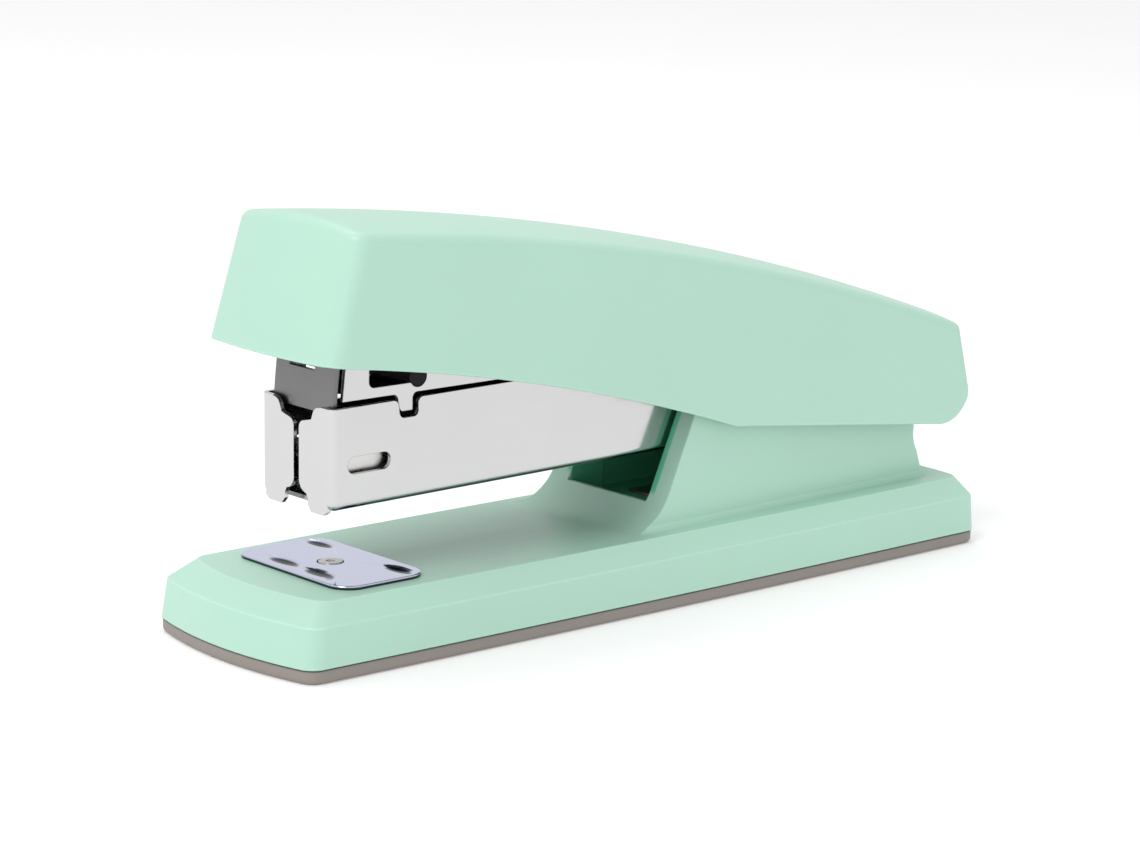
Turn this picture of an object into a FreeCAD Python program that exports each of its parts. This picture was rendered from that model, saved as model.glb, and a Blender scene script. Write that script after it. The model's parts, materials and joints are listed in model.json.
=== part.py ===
import FreeCAD, Part
import math
import os

os.makedirs("parts", exist_ok=True)

# Half-strip desk stapler, in millimetres. The nose points along -X and +Z is up.
# The pieces are drawn round the middle of the base's corners and moved by centring
# when they are saved, so that the origin is under the middle of the whole length.

V = FreeCAD.Vector
ORIGIN = V(0, 0, 0)
X_AXIS = V(1, 0, 0)
Y_AXIS = V(0, 1, 0)
Z_AXIS = V(0, 0, 1)

# ---------------------------------------------------------------- base
base_length = 126.0          # between the corners of the two bowed ends
base_width = 34.0            # across the corners
front_bow = 2.5              # how far the front end bulges past its corners
rear_bow = 1.0
side_bow = 0.55
centring = (front_bow - rear_bow) / 2
front_lean = 0.75            # how far the front face leans back at its top
side_lean = 0.3
plan_corner_radius = 2.5
pad_height = 1.8
pad_inset = 0.15
pad_edge_radius = 0.7
tongue_height = 1.6          # rib of the pad that stands inside the shell
seam = 0.2                   # shadow gap between pad and shell
side_height = 7.3            # top of the upright side faces
platform_height = 9.9
side_chamfer = 2.74
front_chamfer = 4.06
rear_chamfer = 1.7
shell_wall = 2.2
shell_roof = 2.1
fit_gap = 0.25               # loose gap between two pieces of one body

# ---------------------------------------------------------------- fasteners
screw_radius = 1.1
screw_head_radius = 2.1
screw_head_height = 0.7
screw_boss_radius = 2.6
screw_tip = 7.0              # height of the pad screws' points
cap_screw_grip = 3.2
washer_level = 5.6           # foot of the anvil's boss
leaf_screw_x = 14.0
rivet_radius = 0.9

# ---------------------------------------------------------------- pivot
pivot_x = 47.75
pivot_z = 26.5
pin_radius = 2.0
pin_head_radius = 3.0
pin_head_thickness = 0.7
running_clearance = 0.06     # radial, round the pin
press_clearance = 0.01

# ---------------------------------------------------------------- tower
tower_half_front = 12.3      # half width of the cheeks at the front
tower_half_rear = 10.3
tower_foot_x = -4.6          # where the front slope leaves the platform
tower_front_low = (3.2, 15.4)
tower_front_top = (8.4, 27.4)
tower_boss_radius = 6.3
tower_waist = (54.9, 17.4)   # rear edge just under the cap
tower_heel_x = 57.4
mouth_half = 8.25            # half width of the mouth that the magazine enters
pocket_half = 8.95           # wider pocket behind the mouth
jamb_depth = 8.0             # how far the narrow mouth runs back from its lip
sill_height = 13.2
sill_wall = 1.7
slot_floor = 11.2
rear_wall = 1.5
rear_wall_top = 17.9
foot_radius = 1.2

# ---------------------------------------------------------------- magazine
sheet = 0.6                  # steel of the magazine, cover and driver frame
magazine_reach = 100.7       # pivot to the nose
magazine_tilt = 0.64         # degrees that the nose hangs down at rest
magazine_half = 7.7
channel_drop = 6.1           # pivot above the underside of the channel
channel_height = 13.55
bend_radius = 1.1
nose_gap = 1.15              # slit between the two nose flaps
nose_flap_drop = 0.65        # the flaps hang below the channel's underside
notch_start = 10.85          # behind the nose
notch_length = 3.4
notch_depth = 2.5
window_start = 2.5          # long hole in the side, behind the nose
window_length = 7.1
window_height = 2.3
window_rise = 5.85           # its middle above the channel's underside

# ---------------------------------------------------------------- staples
staple_half = 6.35
staple_wire = 0.5
staple_height = 6.3
strip_length = 26.0
strip_gap = 0.22             # between the blade's path and the first staple
guide_gap = 0.1              # between rail, staples and channel
rail_length = 80.0
rail_height = 5.6
rod_radius = 0.9
coil_radius = 1.8
coil_wire = 0.25
coil_pitch = 1.5
pusher_length = 9.0
pusher_height = 3.4          # above the rail

# ---------------------------------------------------------------- blade
blade_clearance = 0.3       # between the blade and the nose flaps
blade_thickness = 0.6
blade_half = 6.35
blade_foot = 5.3             # lower edge above the pivot at rest
blade_top = 24.6
blade_rivet_angle = 12.7     # up from the pivot
lance_side = -1.95           # near end of the short slit in the blade
lance_width = 5.5
lance_height = 10.5

# ---------------------------------------------------------------- cover
plate_gap = 0.08             # between the cover's cheeks and the channel
cover_front_gap = 0.4        # between the blade's path and the cover
cover_low = 7.05             # lower edge of the cheeks above the pivot, at the nose
cover_high_front = 12.3
cover_high_rear = 9.0
cover_roof_angle = 7.15      # front corner of the roof, up from the pivot
cover_roof_knee = 14.0       # the roof turns down behind this distance
return_leaf = 0.45
return_foot = (-34.6, -27.6)
cover_boss_radius = 4.9
tab_length = 2.4
cover_pin_radius = 1.45
cover_pin_x = -86.1
cover_window_length = 8.2     # from its front edge to the pin's middle
cover_pin_z = 9.1

# ---------------------------------------------------------------- cap
cap_half = 14.4              # half width at the lower rim
cap_half_top = 13.1          # half width where the sides meet the top
cap_wall = 1.3
cap_roof = 1.8
cap_crown = 1.4              # rise of the top from its edges to the middle
cap_front_low = (-57.55, 39.7)
cap_front_high = (-52.95, 55.6)
cap_front_bow = 1.2
cap_top_radius = 433.85
cap_top_centre = (-80.9, -376.85)
cap_rim_radius = 360.6
cap_rim_centre = (-101.5, -318.17)
cap_knee_x = 12.9
cap_heel_low = (15.4, 23.4)
cap_tail_low = (56.6, 18.6)
cap_tail_round = (61.2, 20.4)
cap_tail_rear = (62.9, 24.6)
cap_tail_high = (60.7, 33.4)
cap_corner_radius = 2.5
cap_edge_radius = 1.6
cap_back_radius = 1.2
cap_back_opening = 28.6      # the back wall starts at this height

# ---------------------------------------------------------------- driver frame
frame_half = 8.7
frame_roof_gap = 2.6         # between the cap's inner roof and the frame
frame_boss_radius = 5.4
frame_front_foot = 19.0      # lower edge of the front wall above the pivot

# ---------------------------------------------------------------- anvil
anvil_x = -47.2
anvil_length = 14.5
anvil_width = 24.3
anvil_thickness = 0.5
anvil_corner_radius = 3.2
anvil_gap = 0.04             # the plate turns just clear of the platform
anvil_rivet_radius = 1.65
anvil_shank_radius = 1.2
rivet_sink = 0.3             # depth of the dish for the rivet's head
groove_reach = 4.7
groove_depth = 0.44
groove_half_width = 1.3
front_grooves = (0.3, 7.4)   # from the middle line, the pair that folds the legs in
rear_grooves = (5.5, 11.5)   # the pair that folds them out


# ---------------------------------------------------------------- helpers
def save(name, shape):
    placed = shape.copy()
    placed.translate(V(centring, 0, 0))
    placed.exportStep("parts/" + name + ".step")
    print(name, len(placed.Solids), round(placed.Volume, 2), placed.isValid())


def box(x, y, z):
    return Part.makeBox(x[1] - x[0], y[1] - y[0], z[1] - z[0], V(x[0], y[0], z[0]))


def rod_y(x, z, radius, y):
    return Part.makeCylinder(radius, y[1] - y[0], V(x, y[0], z), Y_AXIS)


def rod_z(x, y, radius, z):
    return Part.makeCylinder(radius, z[1] - z[0], V(x, y, z[0]), Z_AXIS)


def outline(start, steps, place):
    """Closed wire. A step is a point, or a (point on the arc, end point) pair."""
    here = start
    edges = []
    for step in steps:
        if isinstance(step[0], tuple):
            edges.append(Part.Arc(place(here), place(step[0]), place(step[1])).toShape())
            here = step[1]
        else:
            edges.append(Part.makeLine(place(here), place(step)))
            here = step
    if place(here).distanceToPoint(place(start)) > 1e-6:
        edges.append(Part.makeLine(place(here), place(start)))
    return Part.Wire(edges)


def slab_y(start, steps, y):
    """Side profile in X and Z, thick from y[0] to y[1]."""
    wire = outline(start, steps, lambda p: V(p[0], y[0], p[1]))
    return Part.Face(wire).extrude(V(0, y[1] - y[0], 0))


def slab_z(start, steps, z):
    wire = outline(start, steps, lambda p: V(p[0], p[1], z[0]))
    return Part.Face(wire).extrude(V(0, 0, z[1] - z[0]))


def slab_x(start, steps, x):
    """Cross-section in Y and Z, long from x[0] to x[1]."""
    wire = outline(start, steps, lambda p: V(x[0], p[0], p[1]))
    return Part.Face(wire).extrude(V(x[1] - x[0], 0, 0))


def round_edges(shape, radius, wanted):
    edges = [edge for edge in shape.Edges if wanted(edge)]
    return shape.makeFillet(radius, edges)


def along(edge, axis):
    """True for a straight edge that runs along the axis."""
    if edge.Curve.TypeId != "Part::GeomLine":
        return False
    return abs(edge.Curve.Direction.dot(axis)) > 0.999


def mirrored(shape):
    return shape.mirror(ORIGIN, Y_AXIS)


def polar(radius, angle):
    """Point at a radius from the pivot; the angle is up from the nose's side."""
    turn = math.radians(angle)
    return (-radius * math.cos(turn), radius * math.sin(turn))


def to_pivot(shape):
    """Places a piece that was drawn with the pivot at the origin."""
    moved = shape.copy()
    moved.translate(V(pivot_x, 0, pivot_z))
    return moved


def to_magazine(shape):
    """The same, hung down by the magazine's angle at rest."""
    moved = shape.copy()
    moved.rotate(ORIGIN, Y_AXIS, -magazine_tilt)
    return to_pivot(moved)


def hole_at_pivot(shape, half):
    bore = rod_y(0, 0, pin_radius + running_clearance, (-half, half))
    return shape.cut(bore)


# ---------------------------------------------------------------- base pieces
def base_plan(inset, front, rear, side, z):
    """Rounded plan of the base as a wire; each offset draws one side in."""
    x0 = -base_length / 2 + front
    x1 = base_length / 2 - rear
    y1 = base_width / 2 - side
    x0 += inset
    x1 -= inset
    y1 -= inset
    middle = (x0 + x1) / 2
    steps = [((middle, -y1 - side_bow), (x1, -y1)),
             ((x1 + rear_bow, 0), (x1, y1)),
             ((middle, y1 + side_bow), (x0, y1)),
             ((x0 - front_bow, 0), (x0, -y1))]
    blank = slab_z((x0, -y1), steps, (z, z + 1))
    radius = plan_corner_radius - min(inset, plan_corner_radius - 0.8)
    blank = round_edges(blank, radius, lambda edge: along(edge, Z_AXIS))
    low = [face for face in blank.Faces if abs(face.CenterOfMass.z - z) < 1e-6]
    return low[0].OuterWire


def plan_prism(inset, z):
    wire = base_plan(inset, 0, 0, 0, z[0])
    return Part.Face(wire).extrude(V(0, 0, z[1] - z[0]))


def tower_profile():
    """Side view of the tower."""
    low_x, low_z = tower_front_low
    top_x, top_z = tower_front_top
    boss = tower_boss_radius
    lean = 0.9
    return ((tower_foot_x, platform_height - 0.5),
            [(tower_foot_x, platform_height),
             ((0.6, 11.75), (low_x, low_z)),
             (top_x, top_z),
             ((top_x + 0.6, top_z + 1.3), (top_x + 2.0, top_z + 1.9)),
             (pivot_x - 2.0, pivot_z + boss),
             ((pivot_x + boss * 0.74, pivot_z + boss * 0.672), (pivot_x + boss + lean, pivot_z - 2.0)),
             tower_waist,
             ((tower_waist[0] + 0.05, tower_waist[1] - 1.4), (tower_waist[0] + 0.9, tower_waist[1] - 3.4)),
             (tower_heel_x, platform_height),
             (tower_heel_x, platform_height - 0.5)])


def tower_blank():
    start, steps = tower_profile()
    blank = slab_y(start, steps, (-base_width, base_width))
    x0 = tower_foot_x - 1
    x1 = tower_heel_x + 1
    z = (platform_height - 1, pivot_z + 2 * tower_boss_radius)
    front = tower_half_front
    rear = tower_half_rear
    plan = slab_z((x0, -front), [(x1, -rear), (x1, rear), (x0, front)], z)
    return blank.common(plan)


def foot_flare():
    """Hollow curve where the tower's sides run out onto the platform."""
    x0 = tower_foot_x - 1
    x1 = tower_heel_x + 1
    wall = tower_half_front - 0.1
    z = platform_height - 0.05
    r = foot_radius + 0.1
    start = V(x0, wall, z)
    out = V(x0, wall + r, z)
    bend = V(x0, wall + r * 0.293, z + r * 0.293)
    up = V(x0, wall, z + r)
    curve = Part.Arc(out, bend, up).toShape()
    wire = Part.Wire([Part.makeLine(start, out), curve, Part.makeLine(up, start)])
    run = V(x1 - x0, tower_half_rear - tower_half_front, 0)
    flare = Part.Face(wire).extrude(run)
    first, steps = tower_profile()
    limit = slab_y(first, steps, (-base_width, base_width))
    flare = flare.common(limit)
    return flare.fuse(mirrored(flare))


def base_shell():
    foot = base_plan(0, 0, 0, 0, pad_height + seam)
    shoulder = base_plan(0, front_lean, side_lean, side_lean, side_height)
    high = base_plan(0, front_chamfer, rear_chamfer, side_chamfer, platform_height)
    walls = Part.makeLoft([foot, shoulder], True, True)
    body = walls.fuse(Part.makeLoft([shoulder, high], True, True))
    body = body.fuse(tower_blank())
    body = body.fuse(foot_flare()).removeSplitter()
    hollow = plan_prism(shell_wall, (0, platform_height - shell_roof))
    body = body.cut(hollow)
    mouth_x = tower_front_low[0] - 2.2
    rear_x = tower_waist[0] - rear_wall
    mouth = box((mouth_x - 8, rear_x), (-mouth_half, mouth_half), (sill_height, pivot_z + 20))
    well = box((mouth_x + sill_wall, rear_x), (-mouth_half, mouth_half), (slot_floor, sill_height))
    pocket = box((mouth_x + jamb_depth, rear_x), (-pocket_half, pocket_half), (slot_floor, pivot_z + 20))
    back = box((rear_x - 1, tower_heel_x + 2), (-pocket_half, pocket_half), (rear_wall_top, pivot_z + 20))
    for cut in (mouth, well, pocket, back):
        body = body.cut(cut)
    body = body.cut(rod_y(pivot_x, pivot_z, pin_radius + press_clearance, (-base_width, base_width)))
    for x, y in pad_screw_places():
        boss = rod_z(x, y, screw_boss_radius, (pad_height + seam, platform_height - shell_roof))
        body = body.fuse(boss)
        body = body.cut(rod_z(x, y, screw_radius + press_clearance, (0, screw_tip)))
    well_boss = rod_z(anvil_x, 0, anvil_rivet_radius + 2.2, (washer_level, platform_height - shell_roof))
    body = body.fuse(well_boss)
    body = body.cut(rod_z(anvil_x, 0, anvil_shank_radius + running_clearance, (0, platform_height + 1)))
    leaf_boss = rod_z(leaf_screw_x, 0, screw_boss_radius, (6.0, platform_height - shell_roof))
    body = body.fuse(leaf_boss)
    body = body.cut(rod_z(leaf_screw_x, 0, screw_radius + press_clearance, (6.5, slot_floor + 1)))
    return body


def pad_screw_places():
    places = []
    for x in (-52.0, 52.0):
        for y in (-10.0, 10.0):
            places.append((x, y))
    return places


def base_pad():
    pad = plan_prism(pad_inset, (0, pad_height))
    pad = round_edges(pad, pad_edge_radius, lambda edge: edge.BoundBox.ZMax < 1e-6)
    inner = shell_wall + fit_gap
    tongue = plan_prism(inner, (pad_height - 0.3, pad_height + tongue_height))
    tongue = tongue.cut(plan_prism(inner + 1.4, (0, pad_height + tongue_height + 1)))
    pad = pad.fuse(tongue)
    for x, y in pad_screw_places():
        pad = pad.cut(rod_z(x, y, screw_radius + fit_gap, (-1, pad_height + 3)))
        pad = pad.cut(rod_z(x, y, screw_head_radius + fit_gap, (-1, screw_head_height + 0.2)))
    return pad


def screw(x, y, z, tip):
    """Countersunk screw whose head's underside faces up at z."""
    head = rod_z(x, y, screw_head_radius, (z - screw_head_height, z))
    shank = rod_z(x, y, screw_radius, (z, tip))
    slot = box((x - screw_head_radius, x + screw_head_radius), (y - 0.25, y + 0.25), (z - 1, z - 0.4))
    return head.fuse(shank).cut(slot)


def pad_screws():
    level = screw_head_height + 0.2
    return Part.makeCompound([screw(x, y, level, screw_tip - 0.4) for x, y in pad_screw_places()])


def pivot_pin():
    end = cheek_half_at_pivot()
    shank = rod_y(pivot_x, pivot_z, pin_radius, (-end - 0.05, end + 0.8))
    head = rod_y(pivot_x, pivot_z, pin_head_radius, (-end - 0.05 - pin_head_thickness, -end - 0.05))
    head = round_edges(head, 0.3, lambda edge: edge.BoundBox.YMax < -end - pin_head_thickness + 0.01)
    pin = shank.fuse(head)
    groove = rod_y(pivot_x, pivot_z, pin_radius + 1, (end + 0.1, end + 0.6))
    groove = groove.cut(rod_y(pivot_x, pivot_z, pin_radius - 0.5, (end, end + 1)))
    return pin.cut(groove)


def cheek_half_at_pivot():
    share = (pivot_x - tower_foot_x + 1) / (tower_heel_x - tower_foot_x + 2)
    return tower_half_front + (tower_half_rear - tower_half_front) * share + 0.12


def pin_ring():
    end = cheek_half_at_pivot()
    ring = rod_y(pivot_x, pivot_z, pin_head_radius, (end + 0.13, end + 0.57))
    ring = ring.cut(rod_y(pivot_x, pivot_z, pin_radius - 0.48, (end, end + 1)))
    opening = box((pivot_x - 0.9, pivot_x + 0.9), (end, end + 1), (pivot_z - 5, pivot_z))
    return ring.cut(opening)


def magazine_spring():
    """Leaf screwed to the slot's floor, rising to the magazine's underside."""
    z = slot_floor + 0.02
    t = 0.4
    start_x = leaf_screw_x - 4
    touch_x = 33.0
    touch_z = pivot_z - channel_drop - 0.45
    foot = box((start_x, leaf_screw_x + 4), (-4, 4), (z, z + t))
    rise = slab_y((leaf_screw_x + 4, z),
                  [((touch_x - 9, z + 4.2), (touch_x, touch_z - t)),
                   (touch_x + 0.02, touch_z),
                   ((touch_x - 9.1, z + 4.2 + t), (leaf_screw_x + 4, z + t))], (-4, 4))
    leaf = foot.fuse(rise)
    return leaf.cut(rod_z(leaf_screw_x, 0, screw_radius + fit_gap, (z - 1, z + 2)))


def leaf_screw():
    z = slot_floor + 0.45
    head = rod_z(leaf_screw_x, 0, screw_head_radius, (z, z + screw_head_height))
    head = round_edges(head, 0.25, lambda edge: edge.BoundBox.ZMin > z + 0.3)
    shank = rod_z(leaf_screw_x, 0, screw_radius, (6.8, z))
    slot = box((leaf_screw_x - 3, leaf_screw_x + 3), (-0.25, 0.25), (z + 0.4, z + 2))
    return head.fuse(shank).cut(slot)


# ---------------------------------------------------------------- anvil pieces
def anvil_outline(z):
    plate = box((anvil_x - anvil_length / 2, anvil_x + anvil_length / 2),
                (-anvil_width / 2, anvil_width / 2), z)
    return round_edges(plate, anvil_corner_radius, lambda edge: along(edge, Z_AXIS))


def groove(x, y0, y1, z, depth):
    """Crescent pressed into the plate to turn one staple leg."""
    half = (y1 - y0) / 2
    radius = (half * half + depth * depth) / (2 * depth)
    rim = (groove_half_width * groove_half_width + depth * depth) / (2 * depth)
    return Part.makeTorus(radius - rim, rim, V(x, (y0 + y1) / 2, z - depth + radius), X_AXIS)


def anvil_plate():
    low = platform_height + anvil_gap
    top = low + anvil_thickness
    plate = anvil_outline((low, top))
    plate = round_edges(plate, 0.2, lambda edge: edge.BoundBox.ZMin > top - 1e-6)
    for side in (-1, 1):
        inner, outer = sorted((side * front_grooves[0], side * front_grooves[1]))
        plate = plate.cut(groove(anvil_x - groove_reach, inner, outer, top, groove_depth))
        inner, outer = sorted((side * rear_grooves[0], side * rear_grooves[1]))
        plate = plate.cut(groove(anvil_x + groove_reach, inner, outer, top, groove_depth))
    dish = rod_z(anvil_x, 0, anvil_rivet_radius + 0.2, (top - rivet_sink, top + 1))
    hole = rod_z(anvil_x, 0, anvil_shank_radius + press_clearance, (low - 1, top + 1))
    return plate.cut(dish).cut(hole)


def anvil_rivet():
    top = platform_height + anvil_gap + anvil_thickness
    head = rod_z(anvil_x, 0, anvil_rivet_radius, (top - rivet_sink, top + 0.1))
    head = round_edges(head, 0.14, lambda edge: edge.BoundBox.ZMin > top)
    head = head.cut(rod_z(anvil_x, 0, 0.6, (top - 0.1, top + 1)))
    shank = rod_z(anvil_x, 0, anvil_shank_radius, (washer_level - 1.3, top - rivet_sink))
    return head.fuse(shank)


def anvil_washer():
    """Dished spring washer, clenched under the base by the rivet's tail."""
    z = washer_level - 0.7
    washer = rod_z(anvil_x, 0, 3.4, (z, z + 0.5))
    return washer.cut(rod_z(anvil_x, 0, anvil_shank_radius + press_clearance, (z - 1, z + 1)))


# ---------------------------------------------------------------- magazine pieces
def tail_profile(low, high, front):
    """Side view of a cheek that ends in a round tail behind the pivot."""
    return ((front, low),
            [(1.6, low),
             ((4.6, low + 1.7), (5.6, 0.4)),
             ((5.0, 3.4), (2.6, 5.0)),
             (-6.0, high),
             (front, high)])


def magazine_channel():
    nose = -magazine_reach
    low = -channel_drop
    high = low + channel_height
    half = magazine_half
    start, steps = tail_profile(low, high, nose)
    outer = slab_y(start, steps, (-half, half))
    bends = round_edges(outer, bend_radius,
                        lambda edge: along(edge, Z_AXIS) and edge.BoundBox.XMax < nose + 0.1)
    bends = round_edges(bends, bend_radius,
                        lambda edge: along(edge, X_AXIS) and edge.BoundBox.ZMax < low + 0.1)
    inner = box((nose + sheet, 20), (-half + sheet, half - sheet), (low + sheet, high + 5))
    inner = round_edges(inner, bend_radius - sheet,
                        lambda edge: along(edge, Z_AXIS) and edge.BoundBox.XMax < nose + 1)
    body = bends.cut(inner)
    # the floor starts behind the blade and leaves the nose open underneath
    exit_x = nose + sheet + strip_start() - guide_gap
    body = body.cut(box((nose + sheet, exit_x), (-half + sheet + 0.4, half - sheet - 0.4),
                        (low - 1, low + sheet + 1)))
    flap_width = (-half + bend_radius, half - bend_radius)
    flaps = box((nose, nose + sheet), flap_width, (low - nose_flap_drop, low + 2))
    body = body.fuse(flaps)
    body = body.cut(nose_cuts(nose, low, high))
    for side in (-1, 1):
        y0, y1 = sorted((side * (half - sheet - 0.2), side * (half + 1)))
        body = body.cut(side_notch(nose, high, (y0, y1)))
        body = body.cut(side_window(nose, low, (y0, y1)))
    for x in rivet_places():
        body = body.cut(rod_z(x, 0, rivet_radius + press_clearance, (low - 1, low + 2)))
    return to_magazine(hole_at_pivot(body, half + 1))


def strip_start():
    """First staple behind the nose flaps' inner face, clear of the blade's path."""
    inner = blade_inner_radius()
    deepest = channel_drop
    return magazine_reach - sheet - math.sqrt(inner * inner - deepest * deepest) + strip_gap


def blade_outer_radius():
    return magazine_reach - sheet - blade_clearance


def blade_inner_radius():
    return blade_outer_radius() - blade_thickness


def nose_cuts(nose, low, high):
    """Slit between the flaps, the funnel above it and the staple's way out."""
    z0 = low - nose_flap_drop - 1
    x = (nose - 1, nose + sheet + 0.1)
    slit = box(x, (-nose_gap / 2, nose_gap / 2), (z0, high + 1))
    neck = nose_gap / 2
    funnel_right = [(neck, high - 3.5),
                    ((neck + 0.3, high - 2.65), (neck + 1.0, high - 2.3)),
                    (3.2, high - 1.9),
                    (3.6, high - 0.9),
                    ((4.0, high - 0.4), (5.0, high - 0.1)),
                    (5.0, high + 1)]
    funnel_left = [(-5.0, high + 1),
                   (-5.0, high - 0.1),
                   ((-4.0, high - 0.4), (-3.6, high - 0.9)),
                   (-3.2, high - 1.9),
                   (-neck - 1.0, high - 2.3),
                   ((-neck - 0.3, high - 2.65), (-neck, high - 3.5))]
    funnel = slab_x((-neck, high - 3.5), funnel_right + funnel_left, x)
    foot = low - nose_flap_drop
    way_out = slab_x((-3.1, foot - 1),
                     [(3.1, foot - 1),
                      (3.1, foot + 0.1),
                      (2.5, foot + 0.8),
                      (2.5, foot + 1.6),
                      (2.1, foot + 2.3),
                      ((neck + 0.5, foot + 2.8), (neck, foot + 3.8)),
                      (-neck, foot + 3.8),
                      ((-neck - 0.5, foot + 2.8), (-2.1, foot + 2.3)),
                      (-2.5, foot + 1.6),
                      (-2.5, foot + 0.8),
                      (-3.1, foot + 0.1)], x)
    cut = slit.fuse(funnel).fuse(way_out)
    for side in (-1, 1):
        corner = slab_x((side * (magazine_half + 1), foot - 1),
                        [(side * (magazine_half + 1), low + 0.8),
                         (side * magazine_half, low + 0.6),
                         (side * (magazine_half - 1.9), foot),
                         (side * (magazine_half - 1.9), foot - 1)], x)
        cut = cut.fuse(corner)
    return cut


def side_notch(nose, high, y):
    x0 = nose + notch_start
    x1 = x0 + notch_length
    z = high - notch_depth
    return slab_y((x0 - 0.9, high + 1),
                  [(x0 - 0.9, high),
                   ((x0 - 0.2, high - 0.25), (x0 + 0.1, high - 0.9)),
                   (x0 + 0.2, z + 0.8),
                   ((x0 + 0.5, z + 0.2), (x0 + 1.1, z)),
                   (x1 - 0.9, z),
                   ((x1 - 0.2, z + 0.25), (x1, z + 0.9)),
                   (x1, high - 0.8),
                   ((x1 + 0.25, high - 0.2), (x1 + 0.9, high)),
                   (x1 + 0.9, high + 1)], y)


def side_window(nose, low, y):
    x0 = nose + window_start
    r = window_height / 2
    z = low + window_rise
    slot = box((x0 + r, x0 + window_length - r), y, (z - r, z + r))
    for x in (x0 + r, x0 + window_length - r):
        slot = slot.fuse(rod_y(x, z, r, y))
    return slot


def rail_front():
    return -magazine_reach + sheet + strip_start()


def staple_rail():
    """Upturned channel that the staples straddle, with a slot for the pusher."""
    x0 = rail_front()
    x1 = x0 + rail_length
    floor = -channel_drop + sheet + 0.02
    half = staple_half - staple_wire - guide_gap
    top = floor + rail_height
    rail = box((x0, x1), (-half, half), (floor, top))
    rail = round_edges(rail, 0.8, lambda edge: along(edge, X_AXIS) and edge.BoundBox.ZMin > top - 0.1)
    rail = rail.cut(box((x0 - 1, x1 + 1), (-half + sheet, half - sheet), (floor - 1, top - sheet)))
    rail = rail.cut(box((x0 + strip_length + 2, x1 - 4), (-1.3, 1.3), (top - 1, top + 1)))
    bridge_z = (floor, floor + sheet)
    for x in rivet_places():
        foot = box((x - 3, x + 3), (-half + sheet - 0.1, half - sheet + 0.1), bridge_z)
        rail = rail.fuse(foot)
        rail = rail.cut(rod_z(x, 0, rivet_radius + press_clearance, (floor - 1, floor + 2)))
    return to_magazine(rail)


def rivet_places():
    return (rail_front() + 6.0, rail_front() + rail_length - 4.0)


def rail_rivets():
    low = -channel_drop
    rivets = []
    for x in rivet_places():
        shank = rod_z(x, 0, rivet_radius, (low + 0.05, low + 2 * sheet + 0.05))
        head = rod_z(x, 0, rivet_radius + 0.7, (low + 2 * sheet + 0.05, low + 2 * sheet + 0.45))
        tail = rod_z(x, 0, rivet_radius + 0.5, (low - 0.35, low))
        shank = shank.fuse(rod_z(x, 0, rivet_radius, (low - 0.1, low + 0.1)))
        rivets.append(to_magazine(shank.fuse(head).fuse(tail)))
    return Part.makeCompound(rivets)


def staple_strip():
    x0 = rail_front()
    floor = -channel_drop + sheet + 0.12
    half = staple_half
    top = floor + staple_height
    strip = box((x0, x0 + strip_length), (-half, half), (floor, top))
    strip = round_edges(strip, 0.45, lambda edge: along(edge, X_AXIS) and edge.BoundBox.ZMin > top - 0.1)
    inside = half - staple_wire
    hollow = box((x0 - 1, x0 + strip_length + 1), (-inside, inside), (floor - 1, top - staple_wire))
    strip = strip.cut(hollow)
    return to_magazine(strip)


def rod_axis_z():
    return -channel_drop + sheet + 2.95


def guide_rod():
    x0 = rail_front() + strip_length + 1.0
    x1 = rail_front() + rail_length - 8.0
    z = rod_axis_z()
    rod = Part.makeCylinder(rod_radius, x1 - x0, V(x0, 0, z), X_AXIS)
    return to_magazine(rod)


def rod_holders():
    """Two folded steel lugs that carry the guide rod's ends."""
    z = rod_axis_z()
    floor = -channel_drop + sheet + 0.03
    lugs = []
    for x in (rail_front() + strip_length + 0.4, rail_front() + rail_length - 8.6):
        lug = box((x, x + 1.2), (-2.2, 2.2), (floor, z + 1.7))
        rod_hole = Part.makeCylinder(rod_radius + press_clearance, 4, V(x - 1, 0, z), X_AXIS)
        lugs.append(to_magazine(lug.cut(rod_hole)))
    return Part.makeCompound(lugs)


def coil(x0, x1, radius, wire, pitch):
    """Open coil spring along X."""
    helix = Part.makeHelix(pitch, x1 - x0 - 2 * wire, radius)
    profile = Part.Wire([Part.makeCircle(wire, V(radius, 0, 0), Y_AXIS)])
    spring = Part.Wire(helix).makePipeShell([profile], True, True)
    spring.rotate(ORIGIN, Y_AXIS, 90)
    spring.translate(V(x0 + wire, 0, 0))
    return spring


def pusher_front():
    return rail_front() + strip_length + 0.05


def pusher():
    """Follower block that rides on the rail; its lug hangs through the rail's slot."""
    x0 = pusher_front()
    x1 = x0 + pusher_length
    floor = -channel_drop + sheet + 0.2
    rail_top = -channel_drop + sheet + 0.02 + rail_height
    half = staple_half
    top = rail_top + pusher_height
    block = box((x0, x1), (-half, half), (floor, top))
    block = round_edges(block, 0.9, lambda edge: along(edge, X_AXIS) and edge.BoundBox.ZMin > top - 0.1)
    rail_half = staple_half - staple_wire - guide_gap
    clear = guide_gap
    saddle_half = rail_half + clear
    block = block.cut(box((x0 - 1, x1 + 1), (-saddle_half, saddle_half), (floor - 1, rail_top + clear)))
    block = block.cut(box((x0 + 3, x1 - 1.2), (-3.5, 3.5), (rail_top + 1.2, top + 1)))
    z = rod_axis_z()
    lug = box((x0 + 2.6, x0 + 4.6), (-1.1, 1.1), (z - 1.5, rail_top + 0.5))
    lug = lug.cut(Part.makeCylinder(rod_radius + running_clearance, 8, V(x0, 0, z), X_AXIS))
    return to_magazine(block.fuse(lug))


def pusher_spring():
    x0 = pusher_front() + 4.75
    x1 = rail_front() + rail_length - 8.7
    spring = coil(x0, x1, coil_radius, coil_wire, coil_pitch)
    spring.translate(V(0, 0, rod_axis_z()))
    return to_magazine(spring)


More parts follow.
